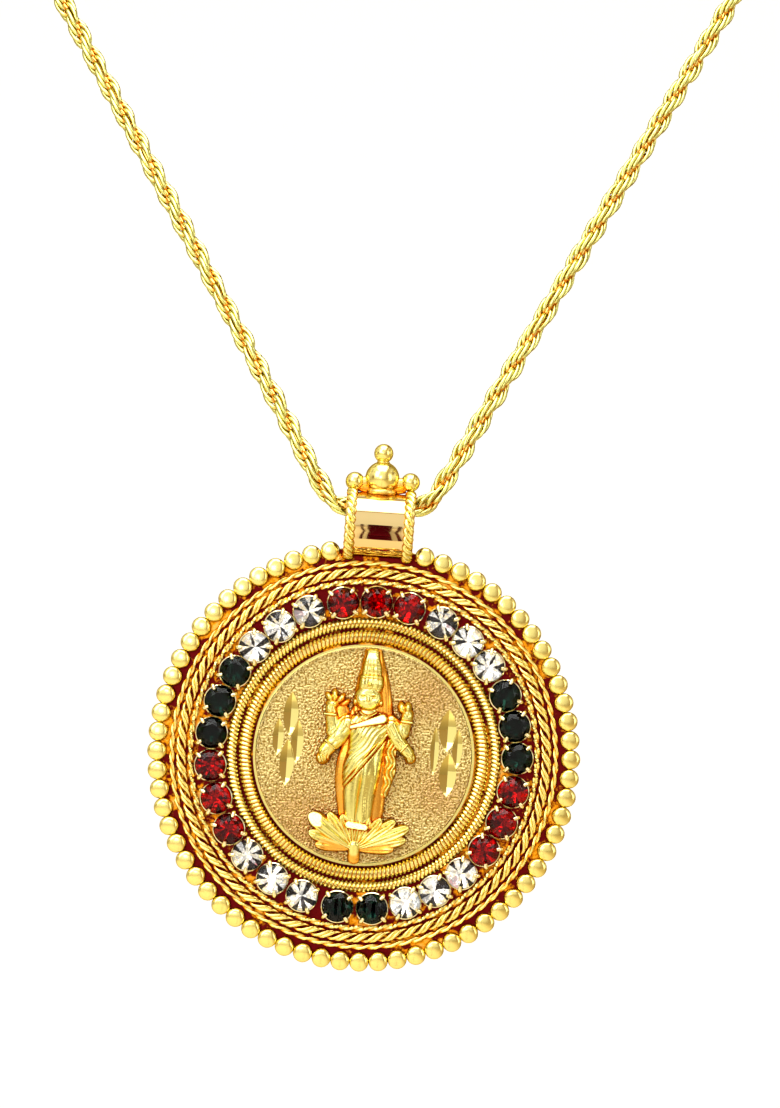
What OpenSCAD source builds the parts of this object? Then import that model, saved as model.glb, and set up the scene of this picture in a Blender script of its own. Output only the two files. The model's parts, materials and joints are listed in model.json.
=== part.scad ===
// Temple necklace: a rope chain and a round stone-set medallion that hangs from it by a barrel bail.
// Millimetres. Z is up and the front faces -Y. The origin is the middle of the wearer's neck.
// The medallion is drawn flat in its own frame, x to the right, y up and z towards the viewer,
// with z = 0 on its back face, and is then hung on the chain.

/* [Medallion] */
// Radius of the circle that the border granules sit on
border_r = 24; // [23.9:0.1:24.3]
// Places for granules round the whole border
border_places = 68; // [60:1:68]
// Places at the top that the bail takes
bail_places = 4; // [4:2:8]
// Radius of one border granule
granule_r = 1.06; // [0.9:0.02:1.06]
// Thickness of the back plate
plate_t = 1; // [0.9:0.05:1.1]
// Radius of the centre disc
disc_r = 12.85; // [12.6:0.05:12.9]
// Height of the centre disc's face above the back
disc_z = 2.1; // [1.8:0.1:2.2]

/* [Stones] */
// Radius of the circle of stones
stones_r = 17.84; // [17.8:0.02:17.9]
// Radius of a stone at its girdle
girdle_r = 1.72; // [1.6:0.02:1.72]
// Radius of a stone's flat table
table_r = 1; // [0.8:0.05:1.05]
// Height of the table above the back
table_z = 3; // [2.9:0.05:3]

/* [Figure] */
// Height of the relief above the centre disc
relief = 2.4; // [1.8:0.1:3]

/* [Bail] */
// Radius of the bail's bore
bore_r = 3.25; // [3.2:0.05:3.3]
// Wall of the bail's band
bail_wall = 0.5; // [0.4:0.05:0.6]
// Half of the band's width
bail_half = 4; // [3.8:0.1:4.1]
// Height of the bail's axis above the medallion's centre
bail_y = 26.75; // [26.7:0.05:26.9]

/* [Chain] */
// Radius of the chain
chain_r = 1; // [0.9:0.02:1]
// Lean of the hanging medallion to the viewer's left, in degrees
lean = 2.6; // [0:0.1:3]

/* [Hidden] */
$fn = 48;
gap = 0.05;
seat = 0.1;

// Wires round the medallion: radius of the ring, radius of the wire, height of its centre, half of its wall
WIRES = [
    [22.35, 0.32, 1.25, 0],
    [21.20, 0.65, 1.50, 0],
    [20.10, 0.33, 1.90, 0.22],
    [15.37, 0.52, 1.70, 0.28],
    [13.80, 0.62, 1.75, 0.35],
];

// Runs of stones, clockwise from the top: colour, how many, angle of the first, angle between two
STONE_RUNS = [
    ["red", 3, -11.6, 12.5],
    ["white", 3, 26.7, 12],
    ["green", 3, 63.3, 12],
    ["red", 3, 99.9, 12.3],
    ["white", 3, 136.6, 11.9],
    ["green", 2, 173, 13],
    ["white", 3, 199.8, 12.8],
    ["red", 3, 237.4, 12.5],
    ["green", 3, 274.5, 12.3],
    ["white", 3, 310.8, 12.2],
];
STONES = [for (run = STONE_RUNS) for (i = [0 : run[1] - 1]) [run[0], run[2] + i * run[3]]];
STONE_NAMES = [for (i = [0 : len(STONES) - 1]) str("stone_", STONES[i][0], "_", i + 1)];

// A claw setting: a cup under the stone and four claws over its girdle
cup_r = 1.55;
cup_bore_r = 1.35;
cup_z = 2;
claw_out = 2.05;
claw_r = 0.26;
claw_z = 2.65;
claw_tip_z = 2.55;
claw_tip_r = 0.24;
claw_tip_l = 0.55;
claw_tip_turn = -50;

// A stone, from the point under it to its girdle
culet_z = 1.15;
culet_r = 0.15;
girdle_z = 2.3;
girdle_t = 0.15;

// How far the plate shows past the middles of the granules
rim = 0.15;

// The centre disc's lip, and its bright cuts: middle x, middle y, length, width
lip_w = 0.5;
lip_h = 0.2;
cut_depth = 0.3;
CUTS = [
    [-8.75, 4.20, 5.20, 1.75],
    [-10.05, 1.45, 4.40, 1.30],
    [-7.80, 1.05, 5.20, 1.45],
    [-8.87, -1.45, 5.50, 1.70],
    [9.56, 3.48, 5.00, 2.00],
    [9.87, -1.63, 5.10, 2.00],
    [8.17, 1.02, 5.70, 1.00],
    [10.80, 1.44, 4.65, 1.20],
];

// Body of the figure from the neck down: height on the disc, middle, half width, share of the relief
BODY = [
    [4.9, 0.30, 1.60, 0.60],
    [3.7, 0.40, 2.60, 0.75],
    [2.0, 0.35, 2.25, 0.85],
    [0.0, 0.15, 2.20, 0.85],
    [-2.2, -0.10, 2.35, 0.90],
    [-4.5, -0.20, 2.10, 0.85],
    [-7.7, -0.20, 1.75, 0.72],
];
// Low side of the figure that shows past the body, in the same columns
SIDES = [
    [3.9, 0.30, 3.20, 0.35],
    [1.0, 0.10, 2.80, 0.42],
    [-0.3, -0.20, 2.85, 0.44],
    [-2.2, -0.15, 3.05, 0.44],
    [-4.2, -0.10, 2.90, 0.42],
    [-7.5, 0.10, 2.35, 0.38],
];
// Crown from its brow up, in the same columns
CROWN = [
    [7.9, 0.30, 1.50, 0.85],
    [8.9, 0.30, 1.45, 0.88],
    [9.5, 0.25, 1.15, 0.73],
    [10.9, 0.22, 0.90, 0.68],
    [11.8, 0.20, 0.62, 0.60],
];
// Veil behind the head, in the same columns
VEIL = [
    [11.7, 0.33, 1.00, 0.40],
    [10.3, 0.47, 1.40, 0.45],
    [8.4, 0.55, 1.93, 0.50],
    [5.4, 0.70, 2.40, 0.42],
    [4.4, 0.45, 2.90, 0.37],
];
// Limbs, hands, buds and sash: start x, y, radius, then end x, y, radius, then share of the relief
LIMBS = [
    [-2.20, 3.9, 0.85, -3.70, 2.6, 0.90, 0.42],
    [-3.70, 2.6, 0.90, -4.15, 5.2, 0.68, 0.45],
    [-4.05, 5.7, 0.80, -3.70, 6.9, 0.60, 0.45],
    [-3.80, 6.1, 0.60, -2.90, 6.3, 0.50, 0.42],
    [2.90, 4.1, 0.80, 4.40, 3.0, 0.68, 0.42],
    [4.40, 3.0, 0.66, 4.80, 4.9, 0.58, 0.45],
    [4.75, 5.2, 0.72, 4.75, 5.9, 0.55, 0.45],
    [-2.10, 3.5, 0.90, -3.00, 2.0, 0.92, 0.66],
    [-3.00, 2.0, 0.90, -4.45, 0.3, 0.78, 0.60],
    [-4.50, 0.1, 0.85, -4.80, -0.7, 0.65, 0.55],
    [2.90, 3.6, 0.80, 3.70, 2.1, 0.75, 0.66],
    [3.70, 2.1, 0.74, 5.15, 0.6, 0.62, 0.60],
    [5.20, 0.3, 0.65, 5.60, -0.1, 0.60, 0.55],
    [3.10, 1.6, 0.65, 3.15, -1.7, 0.68, 0.52],
    [3.15, -1.7, 0.68, 2.75, -4.2, 0.40, 0.45],
    [-1.70, 3.3, 0.42, 2.10, 4.5, 0.60, 0.95],
    [-1.35, -8.15, 0.38, 1.20, -8.25, 0.38, 0.75],
    [-0.40, -10.6, 0.80, -0.35, -11.9, 0.70, 0.50],
];
// Lotus petals that fan out from one point: direction in degrees, length
PETALS = [
    [175, 4.4],
    [161, 5.4],
    [146, 6.3],
    [128, 5.0],
    [111, 4.0],
    [97, 3.4],
    [81, 3.3],
    [66, 3.7],
    [51, 4.6],
    [38, 5.7],
    [26, 6.7],
    [14, 6.0],
    [5, 4.6],
];
petal_base = [-0.45, -10.8];
petal_r = 0.75;
petal_rise = 0.58;
bowl_at = [-0.3, -9.5];
bowl_half = [4.6, 1.75];
head_at = [0.15, 6.65];
head_half = [1.45, 1.45];
bar_half = 0.45;
blob_fn = 14;

// Granules on the bail: x, height above its axis, radius
BAIL_GRANULES = [
    [-0.05, 5.45, 2],
    [-3.20, 4.92, 1.1],
    [3.25, 5.20, 1.1],
    [-0.08, 8.36, 1.12],
];
bail_z = 1.08;
bail_r = bore_r + bail_wall;
edge_wire_r = 0.62;
edge_ring_r = 3.6;
edge_x = 3.6;
saddle_r = edge_ring_r + edge_wire_r + gap;
saddle_half = edge_x + edge_wire_r + gap;

// The chain hangs in the top of the bore. Its route is the wearer's left half, from the bail to the clasp
hang_drop = 0.25;
hang_y = bail_y + bore_r - chain_r - hang_drop;
ROUTE = [
    [0, -84, -104],
    [2.2, -84, -104],
    [4.4, -84, -103.8],
    [6, -83.8, -102.8],
    [7.2, -83.2, -101],
    [8.4, -82.4, -99],
    [12, -79, -92.6],
    [18, -73.2, -82],
    [25, -66.5, -69.6],
    [32, -59.8, -57.3],
    [39, -53.2, -45],
    [46, -46.8, -32.6],
    [53, -40.2, -20.4],
    [60, -33, -8.6],
    [66.5, -22, 0],
    [70, -6, 5],
    [70, 12, 7.5],
    [66, 31, 9.5],
    [57, 47.5, 11],
    [43, 61, 12],
    [25, 69.5, 12],
    [5.1, 72.5, 12],
];
PIVOT = ROUTE[0];
chain_sides = 8;
route_steps = 2;
// No stretch of the route runs along this direction, so it can turn the chain's rings
ring_up = [0, -0.6, 0.8];

clasp_r = 2;
clasp_neck_r = 1.3;
clasp_half = 5;
clasp_taper = 1.2;

function unit(v) = v / norm(v);
function mirrored(p) = [-p[0], p[1], p[2]];
function curve(a, b, c, d, t) =
    0.5 * (2 * b + (c - a) * t + (2 * a - 5 * b + 4 * c - d) * t * t + (3 * b - a - 3 * c + d) * t * t * t);
function smooth(path) = concat(
    [for (i = [0 : len(path) - 2], s = [0 : route_steps - 1])
        curve(path[max(i - 1, 0)], path[i], path[i + 1], path[min(i + 2, len(path) - 1)], s / route_steps)],
    [path[len(path) - 1]]);
function tangent(path, i) = unit(path[min(i + 1, len(path) - 1)] - path[max(i - 1, 0)]);
function ring(path, i) =
    let (t = tangent(path, i), u = unit(cross(t, ring_up)), v = cross(t, u))
    [for (k = [0 : chain_sides - 1])
        path[i] + chain_r * (cos(k * 360 / chain_sides) * u + sin(k * 360 / chain_sides) * v)];

// Hangs the medallion on the chain
module hung() {
    translate(PIVOT) rotate([0, lean, 0]) rotate([90, 0, 0]) translate([0, -hang_y, -bail_z]) children();
}

// Places a thing on a circle, clockwise from the top
module at_clock(angle, r) {
    rotate(-angle) translate([0, r]) children();
}

module wire_section(ring_r, wire_r, wire_z, wall_half) {
    translate([ring_r, wire_z]) circle(wire_r);
    if (wall_half > 0) translate([ring_r - wall_half, plate_t - seat]) square([2 * wall_half, wire_z - plate_t + seat]);
}

module plate_and_wires() {
    rotate_extrude() {
        square([border_r + rim, plate_t]);
        for (w = WIRES) wire_section(w[0], w[1], w[2], w[3]);
    }
}

module border_granules() {
    for (i = [bail_places / 2 : border_places - bail_places / 2 - 1])
        at_clock((i + 0.5) * 360 / border_places, border_r) translate([0, 0, granule_r + gap]) sphere(granule_r);
}

module claw() {
    translate([claw_out, 0, plate_t - seat]) cylinder(h = claw_z - plate_t + seat, r = claw_r, $fn = 6);
    translate([claw_out, 0, claw_tip_z]) rotate([0, claw_tip_turn, 0]) cylinder(h = claw_tip_l, r = claw_tip_r, $fn = 6);
}

module setting() {
    translate([0, 0, plate_t - seat]) difference() {
        cylinder(h = cup_z - plate_t + seat, r = cup_r);
        translate([0, 0, seat]) cylinder(h = cup_z, r = cup_bore_r);
    }
    for (turn = [45 : 90 : 315]) rotate(turn) claw();
}

module bail_saddle() {
    translate([0, bail_y, bail_z]) rotate([0, 90, 0]) cylinder(h = 2 * saddle_half, r = saddle_r, center = true);
}

module frame() {
    color("gold") hung() difference() {
        union() {
            plate_and_wires();
            border_granules();
            for (s = STONES) at_clock(s[1], stones_r) setting();
        }
        bail_saddle();
    }
}

module bail_section() {
    difference() {
        union() {
            translate([bail_r - bail_wall, -bail_half]) square([bail_wall, 2 * bail_half]);
            for (side = [-1, 1]) translate([edge_ring_r, side * edge_x]) circle(edge_wire_r);
        }
        translate([0, -2 * bail_half]) square([bore_r, 4 * bail_half]);
    }
}

module bail() {
    color("gold") hung() translate([0, bail_y, bail_z]) difference() {
        union() {
            rotate([0, 90, 0]) rotate_extrude() bail_section();
            for (g = BAIL_GRANULES) translate([g[0], g[1], 0]) sphere(g[2]);
        }
        rotate([0, 90, 0]) cylinder(h = 4 * bail_half, r = bore_r, center = true);
    }
}

module lens(length, width) {
    r = (length * length + width * width) / (4 * width);
    intersection() {
        translate([r - width / 2, 0]) circle(r);
        translate([width / 2 - r, 0]) circle(r);
    }
}

module medal_disc() {
    low = plate_t + gap;
    color("khaki") hung() difference() {
        rotate_extrude() {
            translate([0, low]) square([disc_r, disc_z - low]);
            translate([disc_r - lip_w, low]) square([lip_w, disc_z + lip_h - low]);
        }
        for (c = CUTS) translate([c[0], c[1], disc_z - cut_depth]) linear_extrude(1) lens(c[2], c[3]);
    }
}

// A flattened ball on the disc, whose height is a share of the relief
module blob(x, y, half_x, half_y, share) {
    translate([x, y, disc_z]) scale([half_x, half_y, share * relief]) sphere(1, $fn = blob_fn);
}

module bars(rows) {
    for (i = [0 : len(rows) - 2]) hull()
        for (row = [rows[i], rows[i + 1]]) blob(row[1], row[0], row[2], bar_half, row[3]);
}

module limbs() {
    for (l = LIMBS) hull() {
        blob(l[0], l[1], l[2], l[2], l[6]);
        blob(l[3], l[4], l[5], l[5], l[6]);
    }
}

module lotus() {
    for (p = PETALS) translate(petal_base) rotate(p[0]) hull() {
        blob(0, 0, petal_r / 2, petal_r / 2, petal_rise / 2);
        blob(p[1] - petal_r, 0, petal_r, petal_r, petal_rise);
        blob(p[1], 0, petal_r / 3, petal_r / 3, petal_rise / 2);
    }
}

module figure() {
    color("gold") hung() intersection() {
        union() {
            bars(BODY);
            bars(SIDES);
            bars(CROWN);
            bars(VEIL);
            blob(head_at[0], head_at[1], head_half[0], head_half[1], 0.9);
            limbs();
            lotus();
            blob(bowl_at[0], bowl_at[1], bowl_half[0], bowl_half[1], 0.42);
        }
        translate([0, 0, disc_z + gap]) linear_extrude(2 * relief) circle(disc_r - lip_w - gap);
    }
}

module stone(i) {
    color(STONES[i][0]) hung() at_clock(STONES[i][1], stones_r) hull() {
        translate([0, 0, culet_z]) cylinder(h = gap, r = culet_r, $fn = 8);
        translate([0, 0, girdle_z]) cylinder(h = girdle_t, r = girdle_r, $fn = 16);
        translate([0, 0, table_z - gap]) cylinder(h = gap, r = table_r, $fn = 8);
    }
}

module rope_chain() {
    half = smooth(ROUTE);
    count = len(half);
    path = concat([for (i = [count - 1 : -1 : 1]) mirrored(half[i])], half);
    last = len(path) - 1;
    color("gold") polyhedron(
        points = [for (i = [0 : last]) each ring(path, i)],
        faces = concat(
            [[for (k = [chain_sides - 1 : -1 : 0]) k]],
            [for (i = [0 : last - 1], k = [0 : chain_sides - 1])
                let (a = i * chain_sides, next = (k + 1) % chain_sides)
                [a + k, a + next, a + chain_sides + next, a + chain_sides + k]],
            [[for (k = [0 : chain_sides - 1]) last * chain_sides + k]]));
}

module clasp() {
    color("gold") translate([0, ROUTE[len(ROUTE) - 1][1], ROUTE[len(ROUTE) - 1][2]]) rotate([0, 90, 0])
        rotate_extrude() polygon([
            [0, -clasp_half],
            [clasp_neck_r, -clasp_half],
            [clasp_r, clasp_taper - clasp_half],
            [clasp_r, clasp_half - clasp_taper],
            [clasp_neck_r, clasp_half],
            [0, clasp_half],
        ]);
}

frame();
bail();
medal_disc();
figure();
rope_chain();
clasp();
for (i = [0 : len(STONES) - 1]) stone(i);
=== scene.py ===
# Temple necklace: a rope chain that carries a round stone-set medallion with a relief figure.
# Metres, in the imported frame: Z is up and the front faces -Y. Tables and profiles are in millimetres.
# The medallion's pieces are made flat in its own frame, x to the right, y up and z towards the
# viewer, and hung on the chain by their object's matrix.
import json
import math

import bmesh
import bpy
import numpy as np
from bpy.props import FloatProperty, FloatVectorProperty, IntProperty, PointerProperty
from bpy.types import Operator, Panel, PropertyGroup
from mathutils import Matrix, Vector


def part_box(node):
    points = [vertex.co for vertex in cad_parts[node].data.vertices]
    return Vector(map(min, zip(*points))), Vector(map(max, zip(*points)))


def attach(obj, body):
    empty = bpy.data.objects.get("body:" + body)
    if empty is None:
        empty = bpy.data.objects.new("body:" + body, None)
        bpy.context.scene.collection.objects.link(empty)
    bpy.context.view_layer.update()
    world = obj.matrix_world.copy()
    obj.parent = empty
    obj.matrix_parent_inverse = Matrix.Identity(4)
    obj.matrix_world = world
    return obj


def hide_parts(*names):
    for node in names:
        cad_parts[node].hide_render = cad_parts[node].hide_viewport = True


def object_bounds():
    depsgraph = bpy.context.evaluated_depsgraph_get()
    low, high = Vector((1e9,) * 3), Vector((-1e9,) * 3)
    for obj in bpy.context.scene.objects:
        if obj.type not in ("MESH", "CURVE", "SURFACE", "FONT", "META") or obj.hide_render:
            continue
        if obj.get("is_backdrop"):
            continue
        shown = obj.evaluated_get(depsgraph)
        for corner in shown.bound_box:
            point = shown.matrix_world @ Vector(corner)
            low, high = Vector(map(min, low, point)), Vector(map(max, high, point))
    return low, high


bl_info = {
    "name": "Temple Necklace",
    "version": (1, 0, 0),
    "blender": (4, 5, 0),
    "location": "View3D > Sidebar > Necklace",
    "description": "Builds a rope chain necklace with a stone-set medallion round its packed frame",
    "category": "Object",
}

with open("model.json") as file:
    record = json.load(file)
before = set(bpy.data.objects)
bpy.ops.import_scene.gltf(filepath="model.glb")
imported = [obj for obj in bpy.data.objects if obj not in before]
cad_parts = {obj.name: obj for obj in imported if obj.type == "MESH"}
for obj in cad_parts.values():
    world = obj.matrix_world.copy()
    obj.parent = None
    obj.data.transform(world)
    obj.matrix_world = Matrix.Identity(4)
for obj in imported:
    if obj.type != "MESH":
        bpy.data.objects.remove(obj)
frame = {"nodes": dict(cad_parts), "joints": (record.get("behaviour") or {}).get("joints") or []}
CAD_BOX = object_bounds()

MM = 0.001
TURN = 2 * math.pi
UPRIGHT = Matrix.Rotation(math.radians(90), 4, "X")

# The medallion hangs on the chain's axis, and leans to the viewer's left
PIVOT = Vector(frame["joints"][0]["pos_m"])
HANG = Vector((0, 28.75, 1.08)) * MM
LEAN = math.radians(2.6)
HUNG = Matrix.Translation(PIVOT) @ Matrix.Rotation(LEAN, 4, "Y") @ UPRIGHT @ Matrix.Translation(-HANG)

# Where the wires of a twisted ring start: a plain pair, and two strands of two wires each
PAIR = (0, math.pi)
ROPE = (-0.55, 0.55, math.pi - 0.55, math.pi + 0.55)

# Heights above the medallion's back: the plate's floor, where what is soldered to it starts, the
# disc, and how far the figure's edge is sunk into the disc
FLOOR_Z = 1.0
FOOT_Z = 0.95
DISC_Z = 2.1
SUNK = 0.03

# Steps of a piece that is turned round the medallion's centre
ROUND_STEPS = 180

# The barrel bail: a point on its axis, in metres, then its bore and band in millimetres
BAIL = np.array([0, 26.75, 1.08]) * MM
BORE_R = 3.25
BAND_R = 3.75
BAND_HALF = 4.0
BAND_BEVEL = 0.1

# The table's height, and the distance of the wall behind
TABLE_Z = -0.3
WALL_Y = 2.6

# Right half of the chain's route, from the bail to the clasp
ROUTE = [
    (0, -84, -104), (2.2, -84, -104), (4.4, -84, -103.8), (6, -83.8, -102.8), (7.2, -83.2, -101),
    (8.4, -82.4, -99), (12, -79, -92.6), (18, -73.2, -82), (25, -66.5, -69.6), (32, -59.8, -57.3),
    (39, -53.2, -45), (46, -46.8, -32.6), (53, -40.2, -20.4), (60, -33, -8.6), (66.5, -22, 0),
    (70, -6, 5), (70, 12, 7.5), (66, 31, 9.5), (57, 47.5, 11), (43, 61, 12), (25, 69.5, 12),
    (5.1, 72.5, 12),
]

# Runs of stones, clockwise from the top: colour, how many, angle of the first, angle between two
STONE_RUNS = [
    ("red", 3, -11.6, 12.5), ("white", 3, 26.7, 12), ("green", 3, 63.3, 12), ("red", 3, 99.9, 12.3),
    ("white", 3, 136.6, 11.9), ("green", 2, 173, 13), ("white", 3, 199.8, 12.8),
    ("red", 3, 237.4, 12.5), ("green", 3, 274.5, 12.3), ("white", 3, 310.8, 12.2),
]

# Bright cuts in the centre disc: middle x, middle y, length, width
CUTS = [
    (-8.75, 4.2, 5.2, 1.75), (-10.05, 1.45, 4.4, 1.3), (-7.8, 1.05, 5.2, 1.45), (-8.87, -1.45, 5.5, 1.7),
    (9.56, 3.48, 5.0, 2.0), (9.87, -1.63, 5.1, 2.0), (8.17, 1.02, 5.7, 1.0), (10.8, 1.44, 4.65, 1.2),
]

# Polished golds: the colour's name, roughness, and height of the fine scratches
GOLDS = {
    "bright_gold": ("gold", 0.18, 0.004),
    "mirror_gold": ("gold", 0.03, 0.00004),
    "band_gold": ("band", 0.012, 0.00002),
    "wire_gold": ("gold", 0.14, 0.01),
    "chain_gold": ("chain", 0.12, 0.006),
    "claw_gold": ("claw", 0.14, 0.008),
    "cast_gold": ("cast", 0.15, 0.02),
}


def measure(name, description, default):
    """A length that a user can change, with its default in millimetres."""
    return FloatProperty(name=name, description=description, default=default * MM, unit="LENGTH")


def tint(name, description, default):
    """A colour that a user can change."""
    return FloatVectorProperty(
        name=name, description=description, subtype="COLOR", default=default, min=0, max=1
    )


class NecklaceSizes(PropertyGroup):
    """Sizes of the necklace's fine pieces"""

    border_r: measure("Border radius", "Radius of the circle of granules", 24)
    granule_r: measure("Granule", "Radius of one border granule", 1.14)
    border_places: IntProperty(name="Granule places", description="Places round the whole border", default=68)
    stones_r: measure("Stone circle", "Radius of the circle of stones", 17.84)
    girdle_r: measure("Stone", "Radius of a stone's girdle", 1.72)
    disc_r: measure("Disc", "Radius of the centre disc", 12.85)
    rope_wire: measure("Rope wire", "Thickness of the wire in the border rope", 0.4)
    link_width: measure("Link width", "Outer width of a chain link", 2.4)
    link_wire: measure("Link wire", "Thickness of a chain link's wire", 0.5)
    link_pitch: measure("Link pitch", "Distance between links along the chain", 0.84)
    rope_turn: measure("Rope turn", "Length of chain in which the links turn once", 8.6)


class NecklaceFinishes(PropertyGroup):
    """Colours of the necklace's finishes and of its stage"""

    gold: tint("Gold", "Polished gold plate", (0.93, 0.78, 0.25))
    # Painted shade: orange and red for gold in its recesses, and dark red for the plate's floor between the
    # parts
    recess_shade_gold: tint("Deep gold", "Gold in the recesses", (0.95, 0.34, 0.005))
    deepest_shade_red: tint("Red gold", "Deepest recesses", (0.35, 0.03, 0.005))
    floor_shade_red: tint("Plate floor", "Aged plate", (0.12, 0.004, 0.005))
    satin: tint("Satin gold", "Sandblasted disc", (0.68, 0.55, 0.23))
    # The satin shade paints shade in patches on the disc and also varies it at random; the darkest colour is
    # painted shade in the grain's pits and on the table's right
    satin_shade: tint("Satin shade", "Duller disc", (0.56, 0.35, 0.14))
    pit_and_table_shade: tint("Satin pits", "Pits of the disc", (0.3, 0.19, 0.04))
    cast: tint("Cast gold", "The relief figure", (0.83, 0.76, 0.24))
    chain: tint("Chain gold", "Chain and clasp", (0.77, 0.75, 0.25))
    # Painted reflection: the band's peach tint stands in for the pinkish surroundings that it mirrors
    band: tint("Band gold", "The bail's band", (0.82, 0.6, 0.26))
    claw: tint("Claw gold", "Pale claws and cups", (0.95, 0.84, 0.5))
    ruby: tint("Red glass", "Red stones", (0.85, 0.04, 0.03))
    emerald: tint("Green glass", "Green stones", (0.2, 0.55, 0.4))
    paper: tint("Paper", "Lit part of the backdrop", (0.9, 0.9, 0.9))
    table: tint("Table", "Floor in front", (0.72, 0.63, 0.47))


class Signal:
    """One output of a finish's nodes. Arithmetic on it adds Math nodes."""

    def __init__(self, finish, socket):
        self.finish = finish
        self.socket = socket

    def maths(self, operation, *values):
        return self.finish.node("ShaderNodeMath", {"operation": operation}, dict(enumerate(values)))

    def __add__(self, other):
        return self.maths("ADD", self, other)

    def __radd__(self, other):
        return self.maths("ADD", other, self)

    def __sub__(self, other):
        return self.maths("SUBTRACT", self, other)

    def __rsub__(self, other):
        return self.maths("SUBTRACT", other, self)

    def __mul__(self, other):
        return self.maths("MULTIPLY", self, other)

    def __rmul__(self, other):
        return self.maths("MULTIPLY", other, self)

    def between(self, low, high):
        """0 below low, 1 above high, and a smooth rise from one to the other."""
        return self.finish.node(
            "ShaderNodeMapRange",
            {"interpolation_type": "SMOOTHSTEP"},
            {"Value": self, "From Min": low, "From Max": high, "To Min": 0.0, "To Max": 1.0},
        )


class Finish:
    """The nodes of a material or of the sky."""

    def __init__(self, owner):
        owner.use_nodes = True
        self.owner = owner
        self.tree = owner.node_tree
        self.tree.nodes.clear()

    def node(self, kind, settings=None, sockets=None, output=0):
        """Adds a node with its settings, then the values or links of its sockets, and returns one output."""
        made = self.tree.nodes.new(kind)
        for key, value in (settings or {}).items():
            if key == "stops":
                set_stops(made.color_ramp, value)
            else:
                setattr(made, key, value)
        for key, value in (sockets or {}).items():
            if isinstance(value, Signal):
                self.tree.links.new(value.socket, made.inputs[key])
            else:
                made.inputs[key].default_value = value
        return None if output is None else Signal(self, made.outputs[output])

    def place(self):
        return self.node("ShaderNodeTexCoord", output="Object")

    def distance(self, point):
        """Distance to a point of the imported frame."""
        sockets = {0: self.place(), 1: point}
        return self.node("ShaderNodeVectorMath", {"operation": "DISTANCE"}, sockets, output="Value")

    def ramp(self, share, stops):
        """The colour or grey that stops give at share."""
        return self.node("ShaderNodeValToRGB", {"stops": stops}, {"Fac": share})

    def depth(self):
        """How much painted shade a point gets, from 0 to 1, mostly from how deep it lies between its
        neighbours, as its mesh says.
        """
        return self.node("ShaderNodeAttribute", {"attribute_name": "depth"}, output="Fac")

    def noise(self, size, detail=2.0, roughness=0.5):
        """Noise whose grains are about size metres across."""
        sockets = {"Vector": self.place(), "Scale": 1 / size, "Detail": detail, "Roughness": roughness}
        return self.node("ShaderNodeTexNoise", None, sockets)

    def mix(self, share, first, second):
        """Two colours mixed by share."""
        sockets = {0: share, 6: with_alpha(first), 7: with_alpha(second)}
        return self.node("ShaderNodeMix", {"data_type": "RGBA"}, sockets, output=2)

    def bump(self, height, distance):
        return self.node("ShaderNodeBump", None, {"Height": height, "Distance": distance, "Strength": 1.0})

    def surface(self, **sockets):
        """Ends a material in a Principled shader and returns it. Socket names have _ for a space."""
        named = {key.replace("_", " "): with_alpha(value) for key, value in sockets.items()}
        shader = self.node("ShaderNodeBsdfPrincipled", None, named, output="BSDF")
        self.node("ShaderNodeOutputMaterial", None, {"Surface": shader}, output=None)
        return self.owner


def set_stops(ramp, stops):
    """Gives a colour ramp its stops, each a position and a colour or a grey."""
    while len(ramp.elements) < len(stops):
        ramp.elements.new(1.0)
    for element, (position, value) in zip(ramp.elements, stops):
        element.position = position
        element.color = (value, value, value, 1) if isinstance(value, float) else (*value, 1)


def with_alpha(value):
    """A colour of three numbers as four, and anything else as it is."""
    if isinstance(value, Signal) or not hasattr(value, "__len__") or len(value) != 3:
        return value
    return (*value, 1.0)


def new_finish(name, colour):
    """An empty material's nodes."""
    material = bpy.data.materials.new(name)
    material.diffuse_color = (*colour, 1)
    return Finish(material)


def finishes():
    return bpy.context.scene.necklace_finishes


def sizes():
    return bpy.context.scene.necklace_sizes


def made_once(maker, name, *values):
    """The material of that name, made on its first use."""
    return bpy.data.materials.get(name) or maker(name, *values)


def gold(name):
    return made_once(polished_gold, name)


def polished_gold(name):
    """Bright plate with painted shade, orange to red, in its recesses, and a faint unevenness."""
    colour_name, roughness, scratch = GOLDS[name]
    plate = getattr(finishes(), colour_name)
    f = new_finish(name, plate)
    cloud = f.noise(2.5 * MM)
    fine = f.noise(0.25 * MM, 3.0)
    deep = f.depth()
    # Painted shade: the colour runs from gold to orange and red as the depth rises
    stops = [(0.0, plate), (0.35, plate), (0.7, finishes().recess_shade_gold), (1.0, finishes().deepest_shade_red)]
    return f.surface(
        Base_Color=f.mix(cloud.between(0.45, 0.8) * 0.2, f.ramp(deep, stops), finishes().satin),
        Metallic=1.0,
        Roughness=roughness * 0.7 + fine * (roughness * 0.6) + deep * 0.15,
        Specular_Tint=(0.5, 0.4, 0.12),
        Normal=f.bump(fine + cloud, scratch * MM),
    )


def plate_floor():
    """Dark red on the plate's front, painted shade for the floor between the soldered parts, varied in random
    patches, and plain gold on its edge and back.
    """
    f = new_finish("plate_floor", finishes().floor_shade_red)
    away = f.distance(HUNG @ Vector((0, 0, FLOOR_Z * MM)))
    # Painted shade: the floor is darker inside 15 mm, under the rings and disc, and past 22.7 mm, among the
    # granules
    darker = 1 - away.between(15 * MM, 17 * MM) + away.between(22.3 * MM, 22.7 * MM) * 0.5
    patches = f.noise(1.3 * MM, 4.0, 0.6) * 0.6 + f.noise(9 * MM, 1.0) * 0.4 - darker * 0.06
    stops = [(0.0, finishes().floor_shade_red), (0.49, finishes().floor_shade_red), (0.55, finishes().recess_shade_gold)]
    floor_shade_and_tone = f.ramp(patches, [*stops, (0.75, finishes().gold)])
    front = f.depth()
    return f.surface(
        Base_Color=f.mix(front, finishes().gold, floor_shade_and_tone),
        Metallic=1.0,
        Roughness=0.15 + front * 0.2,
        Normal=f.bump(f.noise(0.25 * MM, 3.0), 0.03 * MM),
    )


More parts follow.
